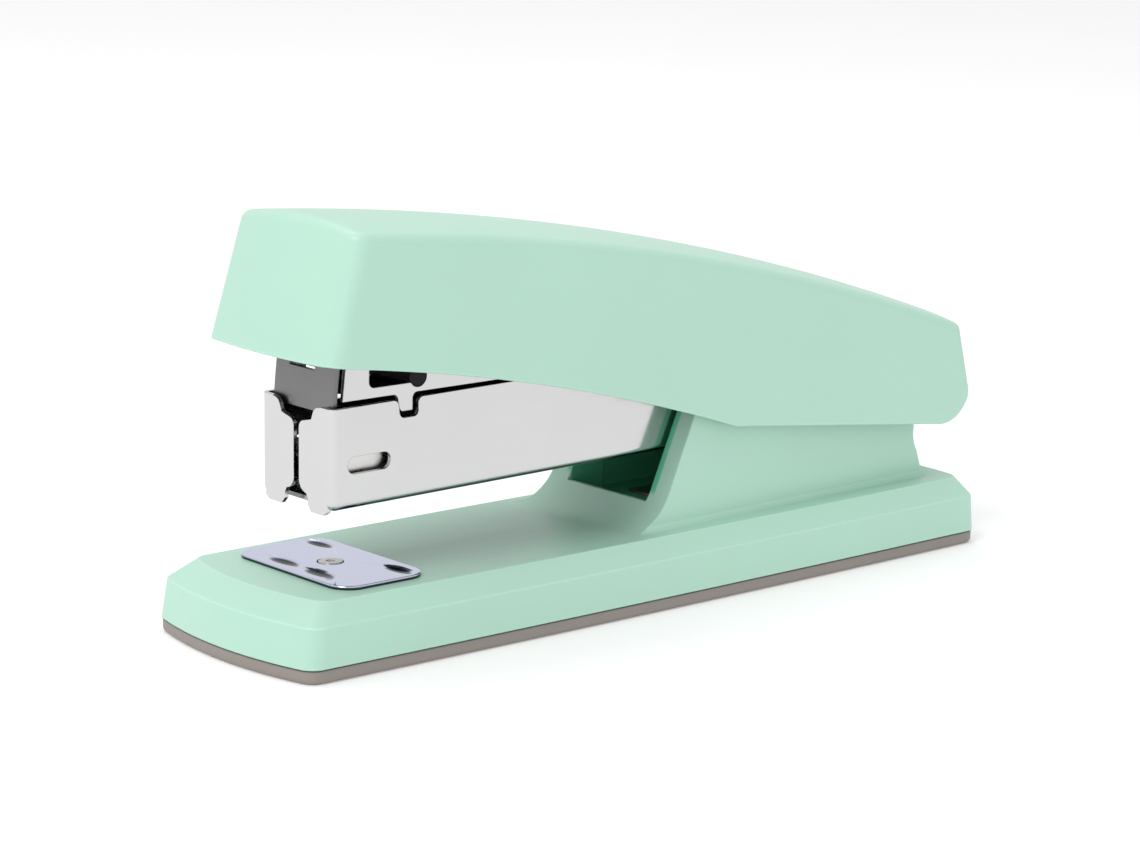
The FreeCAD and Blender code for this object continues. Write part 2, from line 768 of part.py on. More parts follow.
def spacer_tube():
    """Keeps the cover's cheeks apart on the pivot pin."""
    half = magazine_half - sheet - plate_gap - sheet - 0.05
    tube = rod_y(0, 0, pin_radius + 0.8, (-half, half))
    return to_magazine(hole_at_pivot(tube, half + 1))


# ---------------------------------------------------------------- cover pieces
def cover_half():
    return magazine_half - sheet - plate_gap


def magazine_cover():
    """Upturned channel in the magazine's mouth, hinged on the same pin."""
    front = blade_inner_radius() - cover_front_gap
    low_front = polar(front, 4.1)
    high_front = polar(front, cover_roof_angle)
    half = cover_half()
    tab_x = -magazine_reach + notch_start + 0.45
    tab_end = tab_x + tab_length
    low = cover_low
    tab_z = cover_low - 2.35
    boss = cover_boss_radius
    steps = [(tab_x - 0.9, low),
             ((tab_x - 0.25, low - 0.25), (tab_x, low - 0.9)),
             (tab_x + 0.25, tab_z + 0.4),
             (tab_x + 0.6, tab_z),
             (tab_end, tab_z),
             (tab_end, low - 0.7),
             ((tab_end + 0.25, low - 0.2), (tab_end + 0.9, low)),
             (-20.0, low),
             (-boss * 0.8, -boss * 0.6),
             ((0.0, -boss), (boss, 0.0)),
             ((boss * 0.707, boss * 0.707), (0.0, boss + 0.9)),
             (-9.5, cover_high_rear - 1.2),
             (-cover_roof_knee, cover_high_rear),
             high_front,
             (low_front[0], low_front[1])]
    blank = slab_y((low_front[0], low), steps[:-1], (-half, half))
    roof_z = cover_high_rear - 0.4
    inner = half - sheet
    blank = round_edges(blank, 0.8, roof_edge(roof_z))
    hollow = slab_y((-120, -20),
                    [(-120, cover_high_front - sheet + 0.15),
                     (high_front[0], cover_high_front - sheet),
                     (-14.2, cover_high_rear - sheet),
                     (-9.4, cover_high_rear - 1.9),
                     (20, cover_high_rear - 1.9),
                     (20, -20)], (-inner, inner))
    body = blank.cut(hollow)
    body = body.cut(box((-9.4, 20), (-inner, inner), (-20, 20)))
    for y in ((-half - 1, -inner + 0.3), (inner - 0.3, half + 1)):
        body = body.cut(cover_window(y))
    for x in spring_rivet_places():
        body = body.cut(rod_z(x, 0, rivet_radius + press_clearance, (0, 2 * cover_high_front)))
    return to_pivot(hole_at_pivot(body, half + 1))


def roof_edge(height):
    def wanted(edge):
        bounds = edge.BoundBox
        return bounds.ZMin > height and bounds.XLength > 20 and bounds.YLength < 1e-6
    return wanted


def cover_window(y):
    """Sight window in the cheek, with a round seat for the cross pin."""
    x = cover_pin_x
    z = cover_pin_z
    r = cover_pin_radius
    low = z - r + 0.7
    left = x - cover_window_length
    window = slab_y((left + 0.9, low),
                    [(x + 0.4, low),
                     (x + 0.6, low + 2.4),
                     (left, low + 2.4),
                     (left, low + 0.9),
                     ((left + 0.25, low + 0.25), (left + 0.9, low))], y)
    return window.fuse(rod_y(x, z, r + press_clearance, y))


def cover_pin():
    half = cover_half()
    pin = rod_y(cover_pin_x, cover_pin_z, cover_pin_radius, (-half, half))
    pin = round_edges(pin, 0.25, lambda edge: edge.BoundBox.YLength < 1e-6)
    return to_pivot(pin)


def spring_seat():
    """Level of the return spring's foot, on the rising roof of the cover."""
    front = blade_inner_radius() - cover_front_gap
    rise = (polar(front, cover_roof_angle)[1] - cover_high_rear) / (front - cover_roof_knee)
    return cover_high_rear + rise * (-return_foot[0] - cover_roof_knee) + 0.05


def return_spring():
    """Leaf that lifts the cap off the cover after each stroke."""
    t = return_leaf
    z = spring_seat()
    x0, x1 = return_foot
    foot = box((x0, x1), (-4, 4), (z, z + t))
    tip = -54.0
    tip_z = frame_roof_at(tip) - 0.25
    rise = slab_y((x0, z),
                  [(x0, z + t),
                   ((x0 - 9, z + t + 2.9), (tip, tip_z)),
                   ((tip - 1.6, tip_z - 0.1), (tip - 2.6, tip_z - 1.2)),
                   (tip - 2.2, tip_z - 1.4),
                   ((tip - 1.4, tip_z - t - 0.1), (tip, tip_z - t)),
                   ((x0 - 8.8, z + 2.9), (x0, z))], (-4, 4))
    leaf = foot.fuse(rise)
    for x in spring_rivet_places():
        leaf = leaf.cut(rod_z(x, 0, rivet_radius + press_clearance, (z - 1, z + 2)))
    return to_pivot(leaf)


def spring_rivet_places():
    return (-29.4, -32.8)


def spring_rivets():
    z = spring_seat() + return_leaf
    rivets = []
    for x in spring_rivet_places():
        head = rod_z(x, 0, rivet_radius + 0.6, (z + 0.02, z + 0.45))
        head = round_edges(head, 0.2, lambda edge: edge.BoundBox.ZMin > z + 0.3)
        shank = rod_z(x, 0, rivet_radius, (z - 1.6, z + 0.02))
        rivets.append(to_pivot(head.fuse(shank)))
    return Part.makeCompound(rivets)


# ---------------------------------------------------------------- cap pieces
def cap_top_z(x, inset):
    """Height of the cap's crown line above the table, or of a line an inset below it."""
    cx, cz = cap_top_centre
    radius = cap_top_radius + cap_crown - inset
    return cz + math.sqrt(radius * radius - (x - cx) ** 2)


def cap_barrel(inset):
    """Solid of revolution that gives the cap its long crowned back."""
    cx, cz = cap_top_centre
    radius = cap_top_radius - inset
    reach = 24.0
    crown = (cap_half_top ** 2 + cap_crown ** 2) / (2 * cap_crown)
    drop = crown - math.sqrt(crown * crown - reach * reach)
    top = radius + cap_crown
    deep = radius - 90
    points = [V(cx, -reach, cz + deep), V(cx, -reach, cz + top - drop),
              V(cx, reach, cz + top - drop), V(cx, reach, cz + deep)]
    edges = [Part.makeLine(points[0], points[1]),
             Part.Arc(points[1], V(cx, 0, cz + top), points[2]).toShape(),
             Part.makeLine(points[2], points[3]),
             Part.makeLine(points[3], points[0])]
    face = Part.Face(Part.Wire(edges))
    return face.revolve(V(cx, 0, cz), Y_AXIS, 24)


def rim_z(x):
    cx, cz = cap_rim_centre
    return cz + math.sqrt(cap_rim_radius ** 2 - (x - cx) ** 2)


def cap_side(inset, y):
    """Side view of the cap, open above; the inner one is open below as well."""
    high = cap_front_high[1] + 6
    lean = (cap_front_high[0] - cap_front_low[0]) / (cap_front_high[1] - cap_front_low[1])
    front = cap_front_low[0] - cap_front_bow + inset
    top_x = front + lean * (high - cap_front_low[1])
    tail_x, tail_z = cap_tail_high
    rear_x, rear_z = cap_tail_rear
    slope = (tail_x - rear_x) / (tail_z - rear_z)
    back_high = (tail_x - inset + slope * 6, tail_z + 6)
    if inset > 0:
        deep = cap_tail_low[1] - 12
        return slab_y((front - lean * (cap_front_low[1] - deep), deep),
                      [(rear_x - inset, deep),
                       (rear_x - inset, rear_z),
                       back_high,
                       (back_high[0], high),
                       (top_x, high)], y)
    knee = (cap_knee_x, rim_z(cap_knee_x))
    middle = (cap_front_low[0] + cap_knee_x) / 2
    round_mid = cap_tail_round
    return slab_y((front, cap_front_low[1]),
                  [(cap_front_low[0], rim_z(cap_front_low[0])),
                   ((middle, rim_z(middle)), knee),
                   ((knee[0] + 1.2, knee[1] - 0.32), cap_heel_low),
                   cap_tail_low,
                   (round_mid, cap_tail_rear),
                   back_high,
                   (back_high[0], high),
                   (top_x, high)], y)


def cap_blank(inset, roof):
    """Outer or inner form of the cap before its edges are rounded."""
    x = (cap_front_low[0] - 20, cap_tail_rear[0] + 20)
    low_z = cap_tail_low[1] - 14
    high_z = cap_front_high[1] + 8
    fall = (cap_half - cap_half_top) / (cap_front_high[1] - cap_tail_low[1])
    low_y = cap_half - inset + fall * 14
    high_y = cap_half_top - inset - fall * 8
    sides = slab_x((-low_y, low_z), [(low_y, low_z), (high_y, high_z), (-high_y, high_z)], x)
    form = cap_side(inset, (-20, 20)).common(sides)
    form = form.common(front_drum(inset))
    return form.common(cap_barrel(roof))


def front_drum(inset):
    """Big leaning cylinder that bows the cap's front."""
    radius = (cap_half ** 2 + cap_front_bow ** 2) / (2 * cap_front_bow)
    lean_x = cap_front_high[0] - cap_front_low[0]
    lean_z = cap_front_high[1] - cap_front_low[1]
    axis = V(lean_x, 0, lean_z)
    axis.normalize()
    base = V(cap_front_low[0] - cap_front_bow + radius * axis.z, 0, cap_front_low[1] - radius * axis.x)
    foot = base - axis * 120
    return Part.makeCylinder(radius - inset, 240, foot, axis)


def cap_shell():
    outer = cap_blank(0, 0)
    outer = round_edges(outer, cap_back_radius, cap_back_corner)
    outer = round_edges(outer, cap_corner_radius, cap_upright)
    outer = round_edges(outer, cap_edge_radius, cap_top_edge)
    shell = outer.cut(cap_blank(cap_wall, cap_roof))
    notch_half = cheek_half_at_pivot() + 0.6
    notch = box((pivot_x + 6, cap_tail_rear[0] + 5), (-notch_half, notch_half), (0, cap_back_opening))
    shell = shell.cut(notch)
    shell = shell.fuse(cap_mounts(outer)).removeSplitter()
    for x in cap_screw_places():
        low = frame_roof_at(x) + pivot_z + sheet
        screw_bore = rod_z(x + pivot_x, 0, screw_radius + press_clearance, (low - 1, low + cap_screw_grip))
        shell = shell.cut(screw_bore)
    return shell


def cap_upright(edge):
    bounds = edge.BoundBox
    tall = bounds.ZMax - bounds.ZMin > 10
    return tall and bounds.XMax < cap_front_high[0] + 4


def cap_back_corner(edge):
    bounds = edge.BoundBox
    at_tail = bounds.XMin > cap_tail_high[0] - 1.5
    return at_tail and bounds.ZMax - bounds.ZMin > 5 and abs(edge.CenterOfMass.y) > 10


def cap_top_edge(edge):
    bounds = edge.BoundBox
    middle = edge.CenterOfMass
    if bounds.ZMax - bounds.ZMin < 1e-3 and bounds.YLength < 1e-3:
        return False
    line = cap_top_z(min(max(middle.x, -60.0), 62.0), 0)
    return middle.z > line - 3.4 and bounds.ZMin > cap_tail_high[1] - 2.5


def cap_screw_places():
    return (-78.0, -60.0)


def cap_mounts(outer):
    """Cross ribs and screw bosses under the roof, seated on the driver frame."""
    pieces = []
    for x in (-87.0, -62.0, -34.0, -12.0):
        low = frame_roof_at(x - 0.5) + pivot_z + sheet + 0.03
        half = cap_half - cap_wall + 0.3
        pieces.append(box((x + pivot_x, x + pivot_x + 1.2), (-half, half), (low, low + 12)))
    for x in cap_screw_places():
        low = frame_roof_at(x - screw_boss_radius) + pivot_z + sheet + 0.03
        pieces.append(rod_z(x + pivot_x, 0, screw_boss_radius, (low, low + 12)))
    mounts = pieces[0]
    for piece in pieces[1:]:
        mounts = mounts.fuse(piece)
    return mounts.common(outer)


def cap_screws():
    screws = []
    for x in cap_screw_places():
        low = frame_roof_at(x + screw_head_radius) + pivot_z - 0.02
        head = rod_z(x + pivot_x, 0, screw_head_radius, (low - screw_head_height, low))
        head = round_edges(head, 0.25, lambda edge: edge.BoundBox.ZMax < low - 0.3)
        shank = rod_z(x + pivot_x, 0, screw_radius, (low, low + cap_screw_grip))
        slot = box((x + pivot_x - 3, x + pivot_x + 3), (-0.25, 0.25), (low - 2, low - 0.4))
        screws.append(head.fuse(shank).cut(slot))
    return Part.makeCompound(screws)


def frame_roof_at(x):
    """Underside of the driver frame's roof above the pivot, at x from the pivot."""
    return cap_top_z(x + pivot_x, cap_roof + frame_roof_gap) - pivot_z - sheet


def driver_frame():
    """Steel saddle under the cap: two arms on the pin, a roof and a front wall."""
    half = frame_half
    front = blade_outer_radius() + 0.02
    foot = polar(front, math.degrees(math.asin(frame_front_foot / front)))
    head_angle = math.degrees(math.asin((blade_top - 0.3) / front))
    head = polar(front, head_angle)
    boss = frame_boss_radius
    skin = polar(front + sheet, head_angle)
    skin_foot = polar(front + sheet, math.degrees(math.asin(frame_front_foot / (front + sheet))))
    roof_end = -7.5
    roof_mid = (skin[0] + roof_end) / 2
    arm_low = frame_front_foot
    steps = [(foot[0], foot[1]),
             (foot[0] + 3.0, arm_low - 2.5),
             (-38.0, 10.6),
             (-30.0, 8.4),
             (-boss * 0.75, -boss * 0.66),
             ((0.0, -boss), (boss, 0.0)),
             ((boss * 0.707, boss * 0.707), (0.0, boss)),
             (roof_end, frame_roof_at(roof_end) + sheet),
             ((roof_mid, frame_roof_at(roof_mid) + sheet), (skin[0], frame_roof_at(skin[0]) + sheet)),
             (skin[0], skin[1])]
    blank = slab_y(skin_foot, steps, (-half, half))
    inner = half - sheet
    hollow = slab_y((-130, -20),
                    [(20, -20),
                     (20, frame_roof_at(roof_end)),
                     (roof_end - 0.1, frame_roof_at(roof_end)),
                     ((roof_mid, frame_roof_at(roof_mid)), (skin[0] + 0.02, frame_roof_at(skin[0]))),
                     (-130, frame_roof_at(skin[0]))], (-inner, inner))
    body = blank.cut(hollow)
    wall = slab_y(skin_foot, [foot, ((polar(front, (head_angle + 11.0) / 2)), head), skin,
                              ((polar(front + sheet, (head_angle + 11.0) / 2)), skin_foot)], (-half, half))
    body = body.fuse(wall)
    for x in cap_screw_places():
        roof = frame_roof_at(x)
        body = body.cut(rod_z(x, 0, screw_radius + fit_gap, (roof - 2, roof + 2)))
    for y in blade_rivet_places():
        body = body.cut(radial_rod(y, rivet_radius + press_clearance, (front - 2, front + 2)))
    return to_pivot(hole_at_pivot(body, half + 1))


def blade_rivet_places():
    return (-3.6, 3.6)


def radial_rod(y, radius, reach):
    """Rod that points at the pivot, through the blade and the frame's front wall."""
    rod = Part.makeCylinder(radius, reach[1] - reach[0], V(-reach[1], y, 0), X_AXIS)
    rod.rotate(ORIGIN, Y_AXIS, blade_rivet_angle)
    return rod


def blade_rivets():
    rivets = []
    skin = blade_outer_radius() + 0.02 + sheet
    for y in blade_rivet_places():
        shank = radial_rod(y, rivet_radius, (blade_inner_radius() + 0.02, skin))
        head = radial_rod(y, rivet_radius + 0.6, (skin, skin + 0.4))
        rivets.append(to_pivot(shank.fuse(head)))
    return Part.makeCompound(rivets)


def driver_blade():
    """Blade curved about the pivot, so that it follows its own path."""
    outer = blade_outer_radius()
    inner = blade_inner_radius()
    low = math.degrees(math.asin(blade_foot / outer))
    high = math.degrees(math.asin(blade_top / outer))
    middle = (low + high) / 2
    blade = slab_y(polar(outer, low),
                   [(polar(outer, middle), polar(outer, high)),
                    polar(inner, high),
                    (polar(inner, middle), polar(inner, low))], (-blade_half, blade_half))
    for y in blade_rivet_places():
        blade = blade.cut(radial_rod(y, rivet_radius + press_clearance, (inner - 1, outer + 1)))
    lance_rise = (lance_height, lance_height + 0.45)
    lance = box((-outer - 1, -inner + 4), (lance_side, lance_side + lance_width), lance_rise)
    return to_pivot(blade.cut(lance))


def main():
    save("base_shell", base_shell())
    save("base_pad", base_pad())
    save("pad_screws", pad_screws())
    save("pivot_pin", pivot_pin())
    save("pin_ring", pin_ring())
    save("magazine_spring", magazine_spring())
    save("leaf_screw", leaf_screw())
    save("anvil_plate", anvil_plate())
    save("anvil_rivet", anvil_rivet())
    save("anvil_washer", anvil_washer())
    save("magazine_channel", magazine_channel())
    save("staple_rail", staple_rail())
    save("rail_rivets", rail_rivets())
    save("staple_strip", staple_strip())
    save("guide_rod", guide_rod())
    save("rod_holders", rod_holders())
    save("spacer_tube", spacer_tube())
    save("pusher", pusher())
    save("pusher_spring", pusher_spring())
    save("magazine_cover", magazine_cover())
    save("cover_pin", cover_pin())
    save("return_spring", return_spring())
    save("spring_rivets", spring_rivets())
    save("cap_shell", cap_shell())
    save("driver_frame", driver_frame())
    save("driver_blade", driver_blade())
    save("blade_rivets", blade_rivets())
    save("cap_screws", cap_screws())


main()
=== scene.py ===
import json
import math

import bpy
from mathutils import Matrix, Vector


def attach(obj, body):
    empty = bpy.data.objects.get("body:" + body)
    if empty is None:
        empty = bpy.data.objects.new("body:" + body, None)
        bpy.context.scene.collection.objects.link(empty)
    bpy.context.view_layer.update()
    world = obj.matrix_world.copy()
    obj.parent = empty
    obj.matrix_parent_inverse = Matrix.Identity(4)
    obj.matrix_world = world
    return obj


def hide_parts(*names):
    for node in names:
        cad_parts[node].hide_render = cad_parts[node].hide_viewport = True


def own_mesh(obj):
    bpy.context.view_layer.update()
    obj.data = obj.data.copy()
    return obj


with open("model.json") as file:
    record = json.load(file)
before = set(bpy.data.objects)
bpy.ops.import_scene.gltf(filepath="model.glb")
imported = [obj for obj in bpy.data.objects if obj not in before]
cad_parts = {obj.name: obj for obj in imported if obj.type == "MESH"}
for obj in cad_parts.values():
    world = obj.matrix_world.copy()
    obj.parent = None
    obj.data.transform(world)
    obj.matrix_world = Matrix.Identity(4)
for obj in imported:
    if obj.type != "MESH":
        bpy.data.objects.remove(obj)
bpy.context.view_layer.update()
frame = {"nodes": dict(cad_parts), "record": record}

bl_info = {
    "name": "Desk Stapler",
    "version": (1, 0, 0),
    "blender": (4, 5, 0),
    "location": "View3D > Sidebar > Stapler",
    "description": "Builds the looks of a half-strip desk stapler round its packed CAD frame",
    "category": "Object",
}

NODES = frame["nodes"]
BODIES = frame["record"]["behaviour"]["bodies"]
BODY_OF = {node: body for body, nodes in BODIES.items() for node in nodes}
SLOT_OF = {part["node"]: part["material_slot"] for part in frame["record"]["subparts"]}

MM = 0.001
WHITE = (1, 1, 1)
MERGE_REACH = 0.002 * MM
SMOOTH_ANGLE = math.radians(28)

# Sockets of a colour Mix node.
MIX_UNDER = 6
MIX_OVER = 7
MIX_RESULT = 2

MATERIALS = {}


# ------------------------------------------------------------------ settings
class StaplerFinish(bpy.types.PropertyGroup):
    """Colours and gloss of the stapler's pieces."""

    mint: bpy.props.FloatVectorProperty(
        name="Mint", description="Moulded plastic of the cap and the base",
        default=(0.437, 0.686, 0.565), size=3, subtype="COLOR", min=0, max=1)
    mint_roughness: bpy.props.FloatProperty(
        name="Plastic roughness", description="Mean roughness of the moulded plastic",
        default=0.36, min=0, max=1, subtype="FACTOR")
    pad: bpy.props.FloatVectorProperty(
        name="Pad", description="Soft elastomer under the base",
        default=(0.275, 0.245, 0.220), size=3, subtype="COLOR", min=0, max=1)
    bright: bpy.props.FloatVectorProperty(
        name="Bright steel", description="Plated sheet steel of the magazine",
        default=(0.60, 0.60, 0.60), size=3, subtype="COLOR", min=0, max=1)
    blade: bpy.props.FloatVectorProperty(
        name="Blade steel", description="Ground steel of the driver blade",
        default=(0.20, 0.20, 0.20), size=3, subtype="COLOR", min=0, max=1)
    anvil: bpy.props.FloatVectorProperty(
        name="Anvil chrome", description="Chromed anvil plate, slightly lilac",
        default=(0.64, 0.67, 0.85), size=3, subtype="COLOR", min=0, max=1)
    dark: bpy.props.FloatVectorProperty(
        name="Dark steel", description="Blackened cross pin",
        default=(0.020, 0.020, 0.022), size=3, subtype="COLOR", min=0, max=1)


class StaplerSizes(bpy.types.PropertyGroup):
    """Small sizes that only the looks use."""

    plastic_edge: bpy.props.FloatProperty(
        name="Plastic edge", description="Rounding of the moulded parts' sharp edges",
        default=0.4 * MM, min=0, unit="LENGTH")
    steel_edge: bpy.props.FloatProperty(
        name="Steel edge", description="Rounding of the sheet steel's cut edges",
        default=0.12 * MM, min=0, unit="LENGTH")
    floor_reach: bpy.props.FloatProperty(
        name="Floor", description="Half width of the floor",
        default=6.0, min=0.5, unit="LENGTH")
    lens: bpy.props.FloatProperty(
        name="Lens", description="Focal length of the camera on a 36 mm sensor",
        default=101.17, min=20, max=300)


def finish_values():
    return bpy.context.scene.stapler_finish


def size_values():
    return bpy.context.scene.stapler_sizes


# ------------------------------------------------------------------ node helpers
def add_socket(group, name, kind, in_out, default=None):
    socket = group.interface.new_socket(name=name, in_out=in_out, socket_type=kind)
    if default is not None:
        socket.default_value = default
    return socket


def noise(tree, vector, scale, detail=3.0, roughness=0.5):
    made = tree.nodes.new("ShaderNodeTexNoise")
    made.inputs["Scale"].default_value = scale
    made.inputs["Detail"].default_value = detail
    made.inputs["Roughness"].default_value = roughness
    tree.links.new(vector, made.inputs["Vector"])
    return made.outputs["Fac"]


def span(tree, value, low, high):
    """Maps 0..1 to low..high."""
    made = tree.nodes.new("ShaderNodeMapRange")
    made.inputs["From Min"].default_value = 0.25
    made.inputs["From Max"].default_value = 0.75
    made.inputs["To Min"].default_value = low
    made.inputs["To Max"].default_value = high
    tree.links.new(value, made.inputs["Value"])
    return made.outputs["Result"]


def object_vector(tree, scale=(1, 1, 1)):
    place = tree.nodes.new("ShaderNodeTexCoord")
    mapping = tree.nodes.new("ShaderNodeMapping")
    mapping.inputs["Scale"].default_value = scale
    tree.links.new(place.outputs["Object"], mapping.inputs["Vector"])
    return mapping.outputs["Vector"]


def shifted_value(tree, signal, amount, colour):
    """Colour whose value follows a 0..1 signal about its middle, by an amount."""
    centred = tree.nodes.new("ShaderNodeMath")
    centred.operation = "SUBTRACT"
    centred.inputs[1].default_value = 0.5
    value = tree.nodes.new("ShaderNodeMath")
    value.operation = "MULTIPLY_ADD"
    value.inputs[2].default_value = 1.0
    shade = tree.nodes.new("ShaderNodeHueSaturation")
    tree.links.new(signal, centred.inputs[0])
    tree.links.new(centred.outputs[0], value.inputs[0])
    tree.links.new(amount, value.inputs[1])
    tree.links.new(value.outputs[0], shade.inputs["Value"])
    tree.links.new(colour, shade.inputs["Color"])
    return shade.outputs["Color"]


def added(tree, first, second):
    total = tree.nodes.new("ShaderNodeMath")
    total.operation = "ADD"
    tree.links.new(first, total.inputs[0])
    tree.links.new(second, total.inputs[1])
    return total.outputs[0]


def multiplied(tree, first, second):
    product = tree.nodes.new("ShaderNodeMath")
    product.operation = "MULTIPLY"
    tree.links.new(first, product.inputs[0])
    tree.links.new(second, product.inputs[1])
    return product.outputs[0]


def surface_group(name, vectors, roughness, change, change_default):
    """Empty group with the sockets that both surface groups share."""
    group = bpy.data.node_groups.new(name, "ShaderNodeTree")
    for vector in vectors:
        add_socket(group, vector, "NodeSocketVector", "INPUT")
    add_socket(group, "Color", "NodeSocketColor", "INPUT")
    add_socket(group, "Roughness", "NodeSocketFloat", "INPUT", roughness)
    add_socket(group, change, "NodeSocketFloat", "INPUT", change_default)
    add_socket(group, "Color", "NodeSocketColor", "OUTPUT")
    add_socket(group, "Roughness", "NodeSocketFloat", "OUTPUT")
    add_socket(group, "Height", "NodeSocketFloat", "OUTPUT")
    return group, group.nodes.new("NodeGroupInput").outputs, group.nodes.new("NodeGroupOutput").inputs


def moulded_skin():
    """Group: fine moulding grain with slow colour and gloss changes."""
    name = "Moulded Skin"
    if name in bpy.data.node_groups:
        return bpy.data.node_groups[name]
    group, given, made = surface_group(name, ("Vector",), 0.4, "Tint Change", 0.02)
    clouds = noise(group, given["Vector"], 38.0, 4.0)
    grain = noise(group, given["Vector"], 2600.0, 2.0)
    specks = noise(group, given["Vector"], 900.0, 1.0)
    colour = shifted_value(group, clouds, given["Tint Change"], given["Color"])
    gloss = added(group, span(group, specks, -0.035, 0.035), given["Roughness"])
    group.links.new(colour, made["Color"])
    group.links.new(gloss, made["Roughness"])
    group.links.new(grain, made["Height"])
    return group


def rolled_metal():
    """Group: long rolling lines, small scratches and faint stains of sheet steel."""
    name = "Rolled Metal"
    if name in bpy.data.node_groups:
        return bpy.data.node_groups[name]
    group, given, made = surface_group(name, ("Lines", "Place"), 0.25, "Stain", 0.06)
    lines = noise(group, given["Lines"], 1.0, 4.0, 0.6)
    stain = noise(group, given["Place"], 90.0, 5.0, 0.55)
    colour = shifted_value(group, stain, given["Stain"], given["Color"])
    gloss = added(group, span(group, lines, -0.05, 0.06), given["Roughness"])
    group.links.new(colour, made["Color"])
    group.links.new(gloss, made["Roughness"])
    group.links.new(lines, made["Height"])
    return group


def new_material(name):
    material = bpy.data.materials.new(name)
    material.use_nodes = True
    return material, material.node_tree, material.node_tree.nodes["Principled BSDF"]


def rounded_normal(tree, radius):
    rounding = tree.nodes.new("ShaderNodeBevel")
    rounding.samples = 4
    rounding.inputs["Radius"].default_value = radius
    return rounding.outputs["Normal"]


def finish_surface(tree, shader, skin, bump, depth, edge):
    """Colour, gloss and relief of a group, over edges rounded by a small radius."""
    tree.links.new(skin.outputs["Color"], shader.inputs["Base Color"])
    tree.links.new(skin.outputs["Roughness"], shader.inputs["Roughness"])
    relief = tree.nodes.new("ShaderNodeBump")
    relief.inputs["Strength"].default_value = bump
    relief.inputs["Distance"].default_value = depth
    tree.links.new(rounded_normal(tree, edge), relief.inputs["Normal"])
    tree.links.new(skin.outputs["Height"], relief.inputs["Height"])
    tree.links.new(relief.outputs["Normal"], shader.inputs["Normal"])


def plane_mask(tree, direction, start, full):
    """Mask that grows from 0 to 1 between two distances along a direction."""
    place = tree.nodes.new("ShaderNodeTexCoord")
    along = tree.nodes.new("ShaderNodeVectorMath")
    along.operation = "DOT_PRODUCT"
    along.inputs[1].default_value = direction
    tree.links.new(place.outputs["Object"], along.inputs[0])
    mask = tree.nodes.new("ShaderNodeMapRange")
    mask.inputs["From Min"].default_value = start
    mask.inputs["From Max"].default_value = full
    tree.links.new(along.outputs["Value"], mask.inputs["Value"])
    return mask.outputs["Result"]


def box_mask(tree, low, high, softness=0.2 * MM):
    """Mask that is 1 inside a box of the object's own space."""
    walls = []
    for axis in range(3):
        inward = [0, 0, 0]
        inward[axis] = 1
        outward = [0, 0, 0]
        outward[axis] = -1
        walls.append(plane_mask(tree, inward, low[axis] - softness, low[axis] + softness))
        walls.append(plane_mask(tree, outward, -high[axis] - softness, -high[axis] + softness))
    mask = walls[0]
    for wall in walls[1:]:
        mask = multiplied(tree, mask, wall)
    return mask


def lay_tone(tree, shader, mask, colour):
    """Lays another tone over the base colour where the mask is 1."""
    under = shader.inputs["Base Color"].links[0].from_socket
    mix = tree.nodes.new("ShaderNodeMix")
    mix.data_type = "RGBA"
    tree.links.new(mask, mix.inputs[0])
    tree.links.new(under, mix.inputs[MIX_UNDER])
    mix.inputs[MIX_OVER].default_value = (*colour, 1)
    tree.links.new(mix.outputs[MIX_RESULT], shader.inputs["Base Color"])


def edge_mask(tree, radius):
    """Mask that grows towards 1 on sharp edges."""
    flat = tree.nodes.new("ShaderNodeNewGeometry")
    turn = tree.nodes.new("ShaderNodeVectorMath")
    turn.operation = "DOT_PRODUCT"
    tree.links.new(rounded_normal(tree, radius), turn.inputs[0])
    tree.links.new(flat.outputs["Normal"], turn.inputs[1])
    mask = tree.nodes.new("ShaderNodeMapRange")
    mask.inputs["From Min"].default_value = 0.995
    mask.inputs["From Max"].default_value = 0.90
    tree.links.new(turn.outputs["Value"], mask.inputs["Value"])
    return mask.outputs["Result"]


def plastic_material(name, colour, roughness, tint_change, bump):
    material, tree, shader = new_material(name)
    skin = tree.nodes.new("ShaderNodeGroup")
    skin.node_tree = moulded_skin()
    skin.inputs["Color"].default_value = (*colour, 1)
    skin.inputs["Roughness"].default_value = roughness
    skin.inputs["Tint Change"].default_value = tint_change
    tree.links.new(object_vector(tree), skin.inputs["Vector"])
    finish_surface(tree, shader, skin, bump, 0.02 * MM, size_values().plastic_edge)
    return material


def metal_material(name, colour, roughness, stain, bump, lines=(60, 1400, 1400)):
    material, tree, shader = new_material(name)
    skin = tree.nodes.new("ShaderNodeGroup")
    skin.node_tree = rolled_metal()
    skin.inputs["Color"].default_value = (*colour, 1)
    skin.inputs["Roughness"].default_value = roughness
    skin.inputs["Stain"].default_value = stain
    tree.links.new(object_vector(tree, lines), skin.inputs["Lines"])
    tree.links.new(object_vector(tree), skin.inputs["Place"])
    shader.inputs["Metallic"].default_value = 1.0
    finish_surface(tree, shader, skin, bump, 0.008 * MM, size_values().steel_edge)
    return material


def shell_material(colour, roughness):
    """Mint plastic, with painted highlights on its sharp edges and painted shade inside the tower's
    pocket.
    """
    material = plastic_material("Mint ABS", colour, roughness, 0.05, 0.12)
    tree = material.node_tree
    shader = tree.nodes["Principled BSDF"]
    # Painted highlight: sharp edges are laid paler in colour, standing in for the lamps' glints on their
    # rounding.
    edge_highlight = [min(1, 1.22 * channel + 0.03) for channel in colour]
    # Painted shade: a deeper, darker green laid inside the tower's pocket, where the shade falls.
    pocket_shade = (0.10, 0.52, 0.31)
    pocket_low = (0.0035, -0.0092, 0.0110)
    pocket_high = (0.0545, 0.0092, 0.0270)
    lay_tone(tree, shader, edge_mask(tree, 0.5 * MM), edge_highlight)
    lay_tone(tree, shader, box_mask(tree, pocket_low, pocket_high), pocket_shade)
    return material


